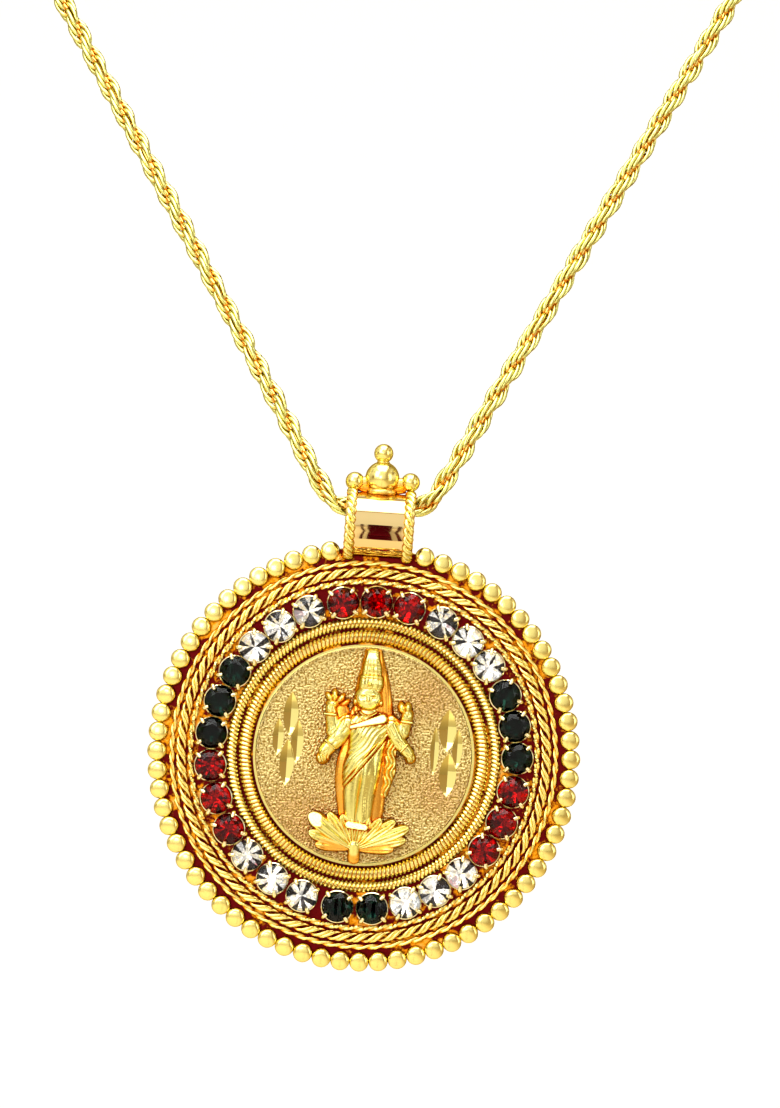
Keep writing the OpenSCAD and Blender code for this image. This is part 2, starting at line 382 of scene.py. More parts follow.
def satin_disc():
    """Sandblasted gold with a polished lip. The lip is told from the field by its distance to the centre."""
    f = new_finish("satin_disc", finishes().satin)
    away = f.distance(HUNG @ Vector((0, 0, DISC_Z * MM)))
    lip = away.between(sizes().disc_r - 0.4 * MM, sizes().disc_r - 0.25 * MM)
    grain = f.noise(0.26 * MM, 1.0, 0.4)
    # Painted shade: besides a random tone, darker patches at the lower left, upper right and right of the
    # disc
    shade = f.noise(9 * MM, 1.0) * 0.3
    for x, y, reach in [(-6.5, -8.0, 9.5), (7.5, 7.5, 6.0), (9.0, -4.0, 6.0)]:
        patch = HUNG @ (Vector((x, y, DISC_Z)) * MM)
        shade = shade + (1 - f.distance(patch).between(0, reach * MM))
    tone_and_shade = f.mix(shade.between(0.05, 1.3), finishes().satin, finishes().satin_shade)
    # Painted shade in the pits of the grain, where the bump is low
    pits = f.mix(grain.between(0.36, 0.58), finishes().pit_and_table_shade, tone_and_shade)
    field = 1 - lip
    return f.surface(
        Base_Color=f.mix(lip, pits, finishes().gold),
        Metallic=1.0,
        Roughness=0.12 + field * 0.2,
        Normal=f.bump(grain * field, 0.3 * MM),
    )


def stone_glass(name, colour, ior):
    """Clear crown of a cut stone. A low index keeps dark stones dark."""
    f = new_finish(name, colour)
    flow = f.noise(0.9 * MM)
    return f.surface(
        Base_Color=f.mix(flow * 0.12, colour, (1.0, 1.0, 1.0)),
        Roughness=0.0,
        IOR=ior,
        Transmission_Weight=1.0,
    )


def stone_foil(name, dark, bright, roughness, glow):
    """Foil behind a cut stone. Each facet has its own share of the light, kept in its depth."""
    f = new_finish(name, bright)
    colour = f.mix(f.depth() + f.noise(0.5 * MM) * 0.04, dark, bright)
    return f.surface(
        Base_Color=colour, Metallic=1.0, Roughness=roughness, Emission_Color=colour, Emission_Strength=glow
    )


def paper_finish():
    """Backdrop with a pool of light behind the necklace."""
    f = new_finish("paper", finishes().paper)
    pool = f.distance((0.003, WALL_Y, -0.109)).between(0.9, 0.45)
    return f.surface(
        Base_Color=f.mix(pool, finishes().table, finishes().paper),
        Roughness=0.9,
        Emission_Color=f.mix(pool, (0.0, 0.0, 0.0), (1.0, 1.0, 1.0)),
        Emission_Strength=0.4,
    )


def table_finish():
    """Table in front of the necklace, with painted shade that darkens its right."""
    f = new_finish("table", finishes().table)
    # Painted shade: the table darkens towards its right
    right = f.node("ShaderNodeSeparateXYZ", None, {"Vector": f.place()}, output="X").between(0.02, 0.3)
    tone = f.mix(f.noise(0.4) * 0.2, finishes().table, finishes().paper)
    return f.surface(Base_Color=f.mix(right * 0.75, tone, finishes().pit_and_table_shade), Roughness=0.9)


def dark_felt():
    wine = (0.07, 0.002, 0.008)
    f = new_finish("dark_felt", wine)
    tone = f.mix(f.noise(0.02).between(0.45, 0.6), wine, (0.01, 0.0, 0.0))
    return f.surface(Base_Color=tone, Roughness=1.0, Specular_IOR_Level=0.0)


def placed(name, data, matrix):
    """Adds an object that shows data to the scene."""
    made = bpy.data.objects.new(name, data)
    bpy.context.scene.collection.objects.link(made)
    made.matrix_world = matrix
    return made


class Shape:
    """Corners and faces of one mesh, gathered from several solids, with each corner's depth, which mostly
    says how much painted shade it gets.
    """

    def __init__(self):
        self.corners = []
        self.faces = []
        self.depths = []
        self.slots = []
        self.count = 0

    def add(self, corners, faces, depth=0.0, slot=0):
        self.corners.append(corners)
        self.depths.append(np.broadcast_to(depth, len(corners)))
        self.faces.extend([[i + self.count for i in face] for face in faces])
        self.slots.extend([slot] * len(faces))
        self.count += len(corners)

    def piece(
        self, name, materials, body="pendant", record_slot="gold_polished",
        sharp=None, merge=False, facets=None,
    ):
        """Makes the mesh object, and lets it ride on its body. Edges are sharp from an angle in degrees.
        facets gives each face its own depth."""
        mesh = bpy.data.meshes.new(name)
        mesh.from_pydata(np.concatenate(self.corners).tolist(), [], self.faces)
        for material in materials:
            mesh.materials.append(material)
        mesh.polygons.foreach_set("material_index", self.slots)
        depths = np.concatenate(self.depths) if facets is None else facets
        domain = "POINT" if facets is None else "FACE"
        mesh.attributes.new("depth", "FLOAT", domain).data.foreach_set("value", np.float32(depths))
        if merge:
            weld(mesh)
        mesh.validate()
        mesh.shade_smooth()
        if sharp is not None:
            mesh.set_sharp_from_angle(angle=math.radians(sharp))
        made = placed(name, mesh, HUNG if body == "pendant" else Matrix())
        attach(made, body)
        return made


def weld(mesh):
    """Joins corners that share a place, and turns all faces outward."""
    work = bmesh.new()
    work.from_mesh(mesh)
    bmesh.ops.remove_doubles(work, verts=work.verts, dist=1e-7)
    bmesh.ops.recalc_face_normals(work, faces=work.faces)
    work.to_mesh(mesh)
    work.free()


def points(x, y, z):
    """Points from their coordinates, any of which may be one number for all of them."""
    return np.stack(np.broadcast_arrays(x, y, z), -1)


def grid_faces(rows, columns, wrap_rows, wrap_columns):
    """Quads of a grid of corners, stored row by row."""
    i = np.arange(rows if wrap_rows else rows - 1)[:, None]
    j = np.arange(columns if wrap_columns else columns - 1)
    near, far = i * columns, (i + 1) % rows * columns
    after = (j + 1) % columns
    return np.stack([near + j, near + after, far + after, far + j], -1).reshape(-1, 4).tolist()


def tube(path, radius, sides, out, closed=False):
    """A round tube along path. out says which way the first corner of each ring points."""
    rows = len(path)
    along = np.roll(path, -1, 0) - np.roll(path, 1, 0) if closed else np.gradient(path, axis=0)
    along /= np.linalg.norm(along, axis=1, keepdims=True)
    side = out - (out * along).sum(1, keepdims=True) * along
    side /= np.linalg.norm(side, axis=1, keepdims=True)
    up = np.cross(along, side)
    angle = np.arange(sides)[:, None] * TURN / sides
    ring = np.cos(angle) * side[:, None] + np.sin(angle) * up[:, None]
    corners = path[:, None] + np.broadcast_to(radius, rows)[:, None, None] * ring
    faces = grid_faces(rows, sides, closed, True)
    if not closed:
        last = (rows - 1) * sides
        faces += [list(range(sides))[::-1], list(range(last, last + sides))]
    return corners.reshape(-1, 3), faces


def revolve(profile, steps, closed):
    """Turns a profile of (radius, height) round the z axis. A closed profile comes back to its start."""
    radius, height = np.transpose(profile)
    angle = np.arange(steps)[:, None] * TURN / steps
    corners = points(radius * np.cos(angle), radius * np.sin(angle), height)
    return corners.reshape(-1, 3), grid_faces(steps, len(profile), True, closed)


def ball(radius, steps, flatten=1.0, square=2.0):
    """A ball of 2 steps by steps. square above 2 flattens its poles like a pressed granule."""
    rise = np.linspace(0, math.pi, steps + 1)
    power = 2 / square
    height = flatten * np.sign(np.cos(rise)) * np.abs(np.cos(rise)) ** power
    return revolve(radius * np.stack([np.abs(np.sin(rise)) ** power, height], 1), 2 * steps, False)


def clock(angle, radius, height=0.0):
    """A point on a circle, clockwise from the top, in degrees."""
    turn = math.radians(angle)
    return np.array([radius * math.sin(turn), radius * math.cos(turn), height])


def turned(corners, angle):
    """Corners turned clockwise about z, in degrees."""
    sine, cosine, _ = clock(angle, 1)
    return corners @ np.array([[cosine, -sine, 0], [sine, cosine, 0], [0, 0, 1]])


def sideways(corners, centre):
    """Turns what is made round the z axis so that it lies round the x axis, about centre."""
    return points(corners[:, 2], corners[:, 1], -corners[:, 0]) + centre


def twisted_ring(shape, ring_r, height, wire_r, offset, phases, turns, steps, sides=6, most_shade=0.6):
    """Adds a ring of wires twisted round each other, one for each phase. Sizes are in millimetres."""
    around = np.arange(steps) * TURN / steps
    outward = points(np.cos(around), np.sin(around), 0)
    base = ring_r * outward + [0, 0, height]
    for phase in phases:
        wind = (around * turns + phase)[:, None]
        rise = np.cos(wind) * outward * offset[0] + np.sin(wind) * [0, 0, offset[1]]
        corners, faces = tube((base + rise) * MM, wire_r * MM, sides, rise, closed=True)
        # Painted shade: a wire darkens where its twist takes it down towards the plate, under its neighbour
        depth = np.clip(most_shade * (0.5 - np.sin(wind)), 0, 1)
        shape.add(corners, faces, np.repeat(depth, sides))


def wire_ring(name, wires, core=None, core_shade=0.9):
    """A piece of twisted wires, given as twisted_ring's values. core is the inner radius, outer radius
    and top of the band that they lie on."""
    shape = Shape()
    twisted_ring(shape, *wires)
    if core:
        inner, outer, top = core
        band = [(inner, FOOT_Z), (outer, FOOT_Z), (outer, top), (inner, top)]
        # The band under the wires carries painted shade
        shape.add(*revolve(np.array(band) * MM, ROUND_STEPS, True), core_shade)
    shape.piece(name, [gold("wire_gold")], sharp=40 if core else None)


def stones():
    """Each stone's number, colour and angle."""
    places = [(colour, first + i * step) for colour, count, first, step in STONE_RUNS for i in range(count)]
    return [(number, *place) for number, place in enumerate(places, 1)]


class NECKLACE_OT_back_plate(Operator):
    """Round plate that carries everything on the medallion"""

    bl_idname = "necklace.back_plate"
    bl_label = "Back plate"

    def execute(self, context):
        rim = sizes().border_r / MM + 0.15
        bevel = groove = 0.12
        edge = [(0, 0), (6, 0), (rim - 2.2, 0), (rim - 2.0, groove), (rim - 1.7, groove), (rim - 1.5, 0)]
        edge += [(rim - bevel, 0), (rim, bevel), (rim, FLOOR_Z - bevel)]
        face = [(rim - bevel, FLOOR_Z), (rim - 3, FLOOR_Z), (12, FLOOR_Z), (0, FLOOR_Z)]
        # The plate's front gets the floor's painted shade; its edge stays plain gold
        depth = np.tile([0.0] * len(edge) + [1.0] * len(face), ROUND_STEPS)
        shape = Shape()
        shape.add(*revolve(np.array(edge + face) * MM, ROUND_STEPS, False), depth)
        plate = shape.piece("back_plate", [plate_floor()], sharp=35, merge=True)
        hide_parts("frame")
        return {"FINISHED"}


class NECKLACE_OT_border_granules(Operator):
    """Granules soldered round the rim, apart from those whose place the bail takes"""

    bl_idname = "necklace.border_granules"
    bl_label = "Border granules"

    def execute(self, context):
        shape = Shape()
        places = sizes().border_places
        rng = np.random.default_rng(7)
        granule, faces = ball(sizes().granule_r, 12, 0.94, 4.0)
        granule_z = 1.1 * MM
        taken = 2
        for i in range(taken, places - taken):
            angle = (i + 0.5) * 360 / places
            lean = Matrix.Rotation(math.radians(6 + rng.normal(0, 1.5)), 3, "X")
            lean = lean @ Matrix.Rotation(math.radians(rng.normal(0, 2)), 3, "Y")
            corners = turned(granule @ np.array(lean), angle) + clock(angle, sizes().border_r, granule_z)
            # Painted shade: each granule darkens towards its foot, near the plate
            shape.add(corners, faces, np.clip(1.0 - corners[:, 2] / MM, 0, 0.4))
        # Pointed wires beside the bail, from foot to tip
        for foot, tip in [((-4.35, 22.4, 1.3), (-5.1, 24.2, 1.2)), ((4.75, 22.7, 1.3), (5.6, 24.2, 1.2))]:
            taper = np.linspace(0.6, 0.06, 7) * MM
            # The pointed wires carry painted shade all along
            shape.add(*tube(np.linspace(foot, tip, 7) * MM, taper, 12, (0, 0, 1)), 0.55)
        shape.piece("border_granules", [gold("bright_gold")], merge=True)
        return {"FINISHED"}


class NECKLACE_OT_border_wires(Operator):
    """Two fine twisted wires and the rope between them"""

    bl_idname = "necklace.border_wires"
    bl_label = "Border wires"

    def execute(self, context):
        strand_r = sizes().rope_wire / 2 / MM
        wire_ring("outer_wire", (22.3, 1.35, 0.2, (0.16, 0.1), PAIR, 41, 900))
        wire_ring("border_rope", (21.2, 1.5, strand_r, (0.42, 0.32), ROPE, 34, 1020, 8, 0.9))
        wire_ring("inner_wire", (20.12, 1.95, 0.19, (0.15, 0.1), PAIR, 37, 900), (19.9, 20.3, 1.85), 0.7)
        return {"FINISHED"}


class NECKLACE_OT_wound_rings(Operator):
    """Two rings of fine wire wound on a core, round the centre disc"""

    bl_idname = "necklace.wound_rings"
    bl_label = "Wound rings"

    def execute(self, context):
        outer = (15.37, 1.72, 0.2, (0.48, 0.3), PAIR, 98, 980, 5, 0.8)
        inner = (13.8, 1.78, 0.19, (0.63, 0.38), (0,), 178, 1780, 5, 0.8)
        wire_ring("wound_ring_outer", outer, (15.03, 15.71, 1.72))
        wire_ring("wound_ring_inner", inner, (13.3, 14.3, 1.78))
        return {"FINISHED"}


class NECKLACE_OT_settings(Operator):
    """A cup and four claws for each stone"""

    bl_idname = "necklace.settings"
    bl_label = "Settings and claws"

    def execute(self, context):
        cup = [(1.2, FOOT_Z), (1.55, FOOT_Z), (1.8, 1.9), (1.9, 2.12), (1.8, 2.2), (1.68, 2.1), (1.35, 1.5)]
        claw = [(1.75, 0, 1.2), (1.97, 0, 1.9), (2.02, 0, 2.4), (1.93, 0, 2.72), (1.7, 0, 2.9)]
        claw.append((1.45, 0, 2.98))
        girth = [0.3, 0.28, 0.27, 0.26, 0.24, 0.17]
        shade_top_z = 1.2
        one_cup = revolve(np.array(cup) * MM, 28, True)
        one_claw = tube(np.array(claw) * MM, np.array(girth) * MM, 8, (0, 1, 0))
        shape = Shape()
        for _, _, angle in stones():
            seat = clock(angle, sizes().stones_r)
            for (corners, faces), fade, turns in [(one_cup, 0.9, (0,)), (one_claw, 1.2, (45, 135, 225, 315))]:
                # Painted shade: cups and claws darken below 1.2 mm, near the plate
                depth = np.clip(1 - (corners[:, 2] / MM - shade_top_z) / fade, 0, 1)
                for turn in turns:
                    shape.add(turned(corners, angle + turn) + seat, faces, depth)
        shape.piece("settings", [gold("claw_gold")], sharp=50)
        return {"FINISHED"}


def brilliant(girdle_r):
    """Corners and faces of a round cut stone: table, stars, kites and girdle, then mains and halves below."""
    ring = np.arange(16) * TURN / 16

    def level(share, height, every=1, start=0):
        angle = ring[start::every]
        return points(share * girdle_r * np.cos(angle), share * girdle_r * np.sin(angle), height * MM)

    levels = [level(0.6, 3.0, 2), level(0.83, 2.75, 2, 1), level(1, 2.45), level(1, 2.34)]
    levels += [level(0.3, 1.48, 2, 1), [[0, 0, 1.15 * MM]]]
    # The first corner of each level after the table
    middle, girdle, under, belly, culet = 8, 16, 32, 48, 56
    crown = [list(range(8))]
    pavilion = []
    for k in range(8):
        last = (k - 1) % 8
        m, b = middle + k, belly + k
        g0, g1, g2 = (girdle + (2 * k + i) % 16 for i in range(3))
        u0, u1, u2 = (under + (2 * k + i) % 16 for i in range(3))
        crown += [[k, m, (k + 1) % 8], [m, k, middle + last, g0], [m, g0, g1], [m, g1, g2]]
        crown += [[g0, u0, u1, g1], [g1, u1, u2, g2]]
        pavilion += [[culet, b, u0, belly + last], [u0, b, u1], [u1, b, u2]]
    return np.concatenate(levels), crown, pavilion


class NECKLACE_OT_stones(Operator):
    """Cut stones with a clear crown and a foiled back"""

    bl_idname = "necklace.stones"
    bl_label = "Cut stones"

    def execute(self, context):
        tints = finishes()
        # Crown's colour, record's slot and index, then the foil's dark and bright, roughness and glow
        looks = {
            "red": (tints.ruby, "glass_red", 1.3, (0.08, 0, 0.001), (0.55, 0.002, 0.01), 0.04, 0.06),
            "green": (tints.emerald, "glass_green", 1.27, (0, 0.001, 0.001), (0.01, 0.03, 0.024), 0.04, 0),
            "white": ((0.96, 0.96, 0.97), "glass_clear", 1.35, (0.008, 0.004, 0.006), (1, 1, 0.98), 0.1, 0.4),
        }
        corners, crown, pavilion = brilliant(sizes().girdle_r)
        rng = np.random.default_rng(11)
        # How often a main and its two halves stay dark, and what a lit one may have of the light
        dark_share = (0.2, 0.7, 0.2)
        light = [0.7, 1.0]
        for number, colour, angle in stones():
            glass, record_slot, ior, *foil = looks[colour]
            shape = Shape()
            place = turned(corners, angle + 11 * number) + clock(angle, sizes().stones_r)
            shape.add(place, crown)
            shape.add(place, pavilion, slot=1)
            facets = [0.0] * len(crown)
            for _ in range(8):
                lit = rng.random(3) > dark_share
                facets += list(lit * rng.choice(light, 3))
            materials = [
                made_once(stone_glass, "crown_" + colour, glass, ior),
                made_once(stone_foil, "foil_" + colour, *foil),
            ]
            name = f"cut_{colour}_{number}"
            stone = shape.piece(name, materials, "pendant", record_slot, 1, True, facets)
            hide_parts(f"stone_{colour}_{number}")
        return {"FINISHED"}


def cut_insert(length, width, depth, steps=24):
    """A V-shaped cut with pointed ends: two flanks that meet in a line along its middle, and their back."""
    radius = (length * length + width * width) / (4 * width)
    y = np.linspace(-length / 2, length / 2, steps + 1)
    half = np.sqrt(np.maximum(radius * radius - y * y, 0)) - (radius - width / 2)
    half = np.maximum(half, 0)
    fall = depth * (2 * half / width) ** 0.6
    rows = [points(-half, y, 0), points(0, y, -fall), points(half, y, 0), points(0, y, -1.2 * fall)]
    return np.stack(rows, 1).reshape(-1, 3), grid_faces(steps + 1, 4, False, True)


class NECKLACE_OT_disc(Operator):
    """Finish of the centre disc, and the bright cuts in its pockets"""

    bl_idname = "necklace.disc"
    bl_label = "Centre disc"

    def execute(self, context):
        disc = frame["nodes"]["medal_disc"]
        disc.data.materials.clear()
        disc.data.materials.append(satin_disc())
        disc.data.set_sharp_from_angle(angle=math.radians(30))
        shape = Shape()
        for x, y, length, width in CUTS:
            corners, faces = cut_insert(length, width, 0.13 * width)
            shape.add((corners + [x, y, DISC_Z + 0.005]) * MM, faces)
        shape.piece("bright_cuts", [gold("mirror_gold")], "pendant", "gold_satin", sharp=10, merge=True)
        return {"FINISHED"}


# Figure's body from the hem up: height on the disc, middle, half width, rise
BODY = [
    (-8.05, -0.2, 1.75, 1.7), (-7.2, -0.2, 1.85, 1.8), (-6.0, -0.2, 1.95, 1.9), (-4.5, -0.2, 2.1, 2.0),
    (-2.2, -0.1, 2.35, 2.2), (-0.8, 0.0, 2.35, 2.15), (0.4, 0.2, 2.2, 2.0), (1.6, 0.35, 2.25, 2.0),
    (2.6, 0.45, 2.4, 2.1), (3.5, 0.45, 2.7, 1.9), (4.2, 0.35, 2.5, 1.6), (4.9, 0.3, 1.6, 1.4),
    (5.5, 0.2, 1.0, 1.4),
]
# In the same columns: low side of the casting that shows past the body, veil behind the head, and
# the crown from its brow up
SIDES = [
    (-8.0, 0.1, 2.35, 0.9), (-6.4, 0.05, 2.7, 0.95), (-4.0, -0.1, 2.95, 1.0), (-2.2, -0.15, 3.05, 1.05),
    (-0.3, -0.2, 2.85, 1.05), (1.0, 0.1, 2.75, 1.0), (2.5, 0.3, 3.3, 0.95), (4.2, 0.3, 3.3, 0.8),
]
VEIL = [
    (4.0, 0.45, 2.9, 0.9), (5.4, 0.7, 2.43, 1.0), (7.9, 0.57, 2.03, 1.15), (8.9, 0.54, 1.84, 1.2),
    (10.35, 0.47, 1.4, 1.1), (12.35, 0.33, 1.0, 0.9),
]
CROWN = [
    (7.5, 0.25, 1.38, 1.95), (8.3, 0.35, 1.45, 2.15), (9.15, 0.35, 1.35, 2.1), (9.35, 0.35, 1.2, 1.8),
    (10.3, 0.35, 1.1, 1.75), (11.0, 0.3, 0.92, 1.65), (11.4, 0.3, 0.78, 1.6), (12.1, 0.3, 0.7, 1.55),
    (12.45, 0.3, 0.5, 1.2),
]
# Arms, sash and rolled cloth: each through points of x, y, radius, rise
REAR_ARMS = [
    [(-2.2, 3.9, 0.85, 1.3), (-3.7, 2.6, 0.9, 1.3), (-4.15, 5.2, 0.68, 1.4)],
    [(2.9, 4.1, 0.85, 1.3), (4.35, 2.9, 0.8, 1.3), (4.75, 4.9, 0.72, 1.45)],
]
FRONT_ARMS = [
    [(-2.1, 3.5, 0.95, 1.8), (-3.0, 2.0, 1.02, 1.7), (-4.45, 0.25, 0.86, 1.6)],
    [(2.9, 3.6, 0.9, 1.8), (3.7, 2.1, 0.88, 1.7), (5.15, 0.55, 0.72, 1.6)],
]
SASH = [(3.1, 1.6, 0.7, 1.3), (3.15, -1.7, 0.72, 1.3), (2.7, -4.4, 0.4, 1.1)]
ROLL = [(-1.7, 3.2, 0.2, 2.2), (0.2, 3.85, 0.36, 2.45), (1.9, 4.4, 0.62, 2.3)]
# Bangles: x and y of both ends, and the radius and rise that all have
BANGLES = [
    (-4.5, 1.5, -3.4, 0.6), (4.95, 1.6, 4.25, 0.75), (-4.85, 4.55, -3.55, 4.5), (4.15, 4.25, 5.35, 4.15),
]
BANGLE_WIRE = (0.18, 1.85)
# Domes: middle x, y, half width, half height, turn in degrees, rise
FRONT_HANDS = [(-4.65, -0.45, 0.85, 1.0, -30, 1.45), (5.4, 0.05, 0.7, 0.75, 25, 1.4)]
REAR_HANDS = [(-4.0, 5.75, 0.85, 0.6, 0, 1.5), (4.75, 5.2, 0.75, 0.6, 0, 1.5)]
BUDS = [
    (-4.4, 6.5, 0.42, 0.75, 40, 1.4), (-3.8, 6.75, 0.44, 0.8, 5, 1.55), (-3.1, 6.4, 0.42, 0.8, -40, 1.35),
    (-2.6, 5.9, 0.4, 0.8, -60, 1.0), (4.05, 5.75, 0.55, 0.8, 20, 1.6), (4.75, 5.85, 0.5, 0.75, 0, 1.75),
]
JEWELS = [(0.2, 8.3, 0.5, 0.42, 0, 2.5), (0.35, 10.1, 0.34, 0.5, 0, 1.98)]
EARS = [(-1.4, 6.15, 0.34, 0.5, 0, 1.6), (1.6, 6.15, 0.34, 0.5, 0, 1.6)]
# Bands and grooves across the crown: height on the disc, half width, rise
TIERS = [(9.25, 0.12, 0.1), (9.0, 0.08, -0.12), (9.5, 0.07, -0.1), (7.75, 0.07, -0.1)]
# Strings of beads round the neck: points of x and y
STRINGS = [
    [(-0.8, 5.05), (-0.4, 4.72), (0.2, 4.58), (0.8, 4.76), (1.2, 5.1)],
    [(-1.25, 5.05), (-0.67, 4.3), (0.2, 4.16), (1.07, 4.34), (1.65, 5.1)],
]
# Lotus petals, back ones first: direction in degrees, length, half width, rise
PETALS = [
    (176, 4.5, 0.85, 1.0), (4, 4.7, 0.85, 1.0), (162, 5.6, 1.05, 1.2), (14, 6.2, 1.0, 1.15),
    (145, 6.6, 1.35, 1.6), (25, 6.95, 1.1, 1.45), (128, 5.2, 0.95, 1.5), (38, 5.9, 1.0, 1.45),
    (112, 4.3, 0.8, 1.5), (51, 4.8, 0.9, 1.5), (97, 3.6, 0.7, 1.55), (66, 4.0, 0.8, 1.5),
    (81, 3.5, 0.7, 1.6),
]
PETAL_BASE = (-0.45, -10.95)
# Dome under the petals, and how square its sides are
LOTUS_BED = (-0.3, -9.5, 4.4, 1.7, 2, 1.05, 4.0)
# Single limbs: x, y, radius, rise of one end and then of the other
SHOULDER = (-3.0, 3.0, 1.2, 0.8, -2.9, 5.0, 0.9, 0.7)
STEM = (-0.4, -10.5, 0.75, 1.5, -0.35, -12.0, 0.72, 0.9)
HEM = (-1.2, -8.1, 0.45, 2.6, 0.7, -8.3, 0.42, 2.6)
# Head: middle x, y, half width, half height
HEAD = (0.1, 6.65, 1.62, 1.5)
# Width of a soft crease between two forms
CREASE = 0.12
# Distance between the points of the relief
RELIEF_STEP = 0.06


def limb(x, y, ax, ay, ar, ah, bx, by, br, bh):
    """Height of a rounded limb between two points."""
    dx, dy = bx - ax, by - ay
    t = np.clip(((x - ax) * dx + (y - ay) * dy) / (dx * dx + dy * dy), 0, 1)
    away = np.hypot(x - ax - t * dx, y - ay - t * dy) / (ar + (br - ar) * t)
    return (ah + (bh - ah) * t) * np.clip(1 - away**3, 0, 1) ** (1 / 3)


def bent_limb(x, y, rows):
    """Height of a limb through several points."""
    return np.maximum.reduce([limb(x, y, *start, *end) for start, end in zip(rows, rows[1:])])


def sleeves(x, y, arms):
    """Heights of arms in cloth, with folds that run along them and break off."""
    for (ax, ay, *start), (bx, by, *end) in [pair for arm in arms for pair in zip(arm, arm[1:])]:
        height = limb(x, y, ax, ay, *start, bx, by, *end)
        long = math.hypot(bx - ax, by - ay)
        dx, dy = (bx - ax) / long, (by - ay) / long
        across = (x - ax) * dy - (y - ay) * dx
        along = (x - ax) * dx + (y - ay) * dy
        folds = np.cos((across + 0.1 * np.sin(along * 2.5)) * TURN / 0.55)
        folds = np.clip(folds * np.clip(0.4 + np.sin(along * 3.1 + across), 0, 1), 0, 1)
        yield np.maximum(height - 0.1 * folds * (height > 0.6), 0)


def dome(x, y, cx, cy, rx, ry, turn, rise, flat=2.0):
    """Height of an oval dome. flat above 2 squares its sides."""
    a = math.radians(turn)
    u = ((x - cx) * math.cos(a) + (y - cy) * math.sin(a)) / rx
    v = (-(x - cx) * math.sin(a) + (y - cy) * math.cos(a)) / ry
    away = np.hypot(u, v)
    return rise * np.clip(1 - away**flat, 0, 1) ** (1 / flat)


def column(x, y, rows, reach=0.35, flat=2.0):
    """Height of a body given by rows, with its middle and half width at each height on the disc."""
    heights, *columns = np.transpose(rows)

    def smooth(values):
        below, here, above = (np.interp(y + shift, heights, values) for shift in (-reach, 0, reach))
        return (below + 2 * here + above) / 4

    middle, half, rise = map(smooth, columns)
    across = (x - middle) / half
    inside = (y >= heights[0]) & (y <= heights[-1])
    round_side = np.clip(1 - np.abs(across) ** flat, 0, 1) ** (1 / flat)
    return np.where(inside, rise * round_side, 0), across


def ridged(height, ridges, above=0.3):
    """A height with ridges on it where it is over above."""
    return np.maximum(height + ridges * (height > above), 0)


def meld(a, b, soft):
    """The higher of two heights, with a soft crease where they meet."""
    near = np.maximum(soft - np.abs(a - b), 0) / soft
    both = np.minimum(a, b) > 0
    return np.maximum(a, b) + near * near * soft / 4 * both


def polished(x, y, height, cx, cy, level):
    """Planes a height off, tilted a little to the upper left so that it catches the light."""
    return np.minimum(height, level + 0.105 * (x - cx) - 0.087 * (y - cy))


def line(value, width):
    """1 where value is 0, and 0 a few widths away."""
    return np.exp(-((value / width) ** 2))


def petal(x, y, turn, length, half, rise):
    """Height of a lotus petal with fine ribs."""
    a = math.radians(turn)
    dx, dy = x - PETAL_BASE[0], y - PETAL_BASE[1]
    u = (dx * math.cos(a) + dy * math.sin(a)) / length
    v = -dx * math.sin(a) + dy * math.cos(a)
    reach = np.clip(u, 0, 1)
    width = half * 1.15 * reach**0.6 * np.sqrt(np.clip(1 - reach**4, 0, 1)) + 1e-6
    inside = (u > 0) & (u < 1) & (np.abs(v) < width)
    rib = 1 + 0.08 * np.cos(v / width * TURN * 1.5)
    lip = 1 + 0.12 * line(u - 0.86, 0.09)
    height = rise * (0.75 + 0.25 * reach) * rib * lip * np.clip(1 - np.abs(v / width) ** 3, 0, 1) ** 0.5
    return np.where(inside, height, 0)


def dressed_body(x, y):
    """Body with its skirt folds and the drape that crosses it."""
    height, across = column(x, y, BODY, flat=2.4)
    body = height > 0
    skirt = np.clip((-0.5 - y) / 2.5, 0, 1)
    folds = 0.5 + 0.5 * np.cos(across * TURN * 2.1 + 0.9 + 0.16 * y + 0.5 * np.sin(y * 0.9))
    middle = line(across + 0.05 - 0.03 * (y + 4), 0.07)
    height = height - skirt * body * (0.14 * folds + 0.2 * middle)
    slope = -0.79 * x + 0.61 * y
    drape = (slope > -0.68) & (y < 4.6) & body
    wave = slope + 0.12 * np.sin((0.61 * x + 0.79 * y) * 1.7)
    pleat = 0.5 + 0.5 * np.cos((wave + 0.68) * TURN / 0.5)
    calm = np.clip((slope + 0.4) / 2.4, 0, 1)
    height = height + drape * (0.26 - 0.14 * pleat * (1 - 0.5 * calm))
    groove = line(slope + 0.74, 0.1) + 0.8 * line(slope + 0.3, 0.08)
    return np.maximum(height - 0.24 * groove * body * (y < 4.6), 0) * body


def face(x, y):
    """A calm, plain face on an oval head, set out by the usual halves and thirds."""
    cx, cy, rx, ry = HEAD
    height = dome(x, y, cx, cy, rx, ry, 0, 2.15, 3.4)
    u, v = (x - cx) / rx, (y - cy) / ry
    marks = 0.1 * line(u, 0.25) * line(v + 0.74, 0.12)
    for side in (-1, 1):
        eye = line(u - side * 0.38, 0.2) * line(v - 0.08, 0.13)
        lid = line(u - side * 0.38, 0.15) * line(v - 0.06, 0.06)
        brow = line(u - side * 0.38, 0.24) * line(v - 0.3 + 0.4 * (np.abs(u) - 0.38) ** 2, 0.05)
        cheek = line(u - side * 0.5, 0.2) * line(v + 0.28, 0.2)
        marks = marks - 0.34 * eye + 0.24 * lid + 0.1 * brow + 0.09 * cheek
    nose = line(u, 0.1) * np.clip((0.25 - v) / 0.4, 0, 1) * (v > -0.18)
    lips = line(u, 0.24) * (line(v + 0.45, 0.09) - 0.9 * line(v + 0.45, 0.03))
    return np.maximum(height + (marks + 0.32 * nose + 0.16 * lips) * (height > 0.5), 0)


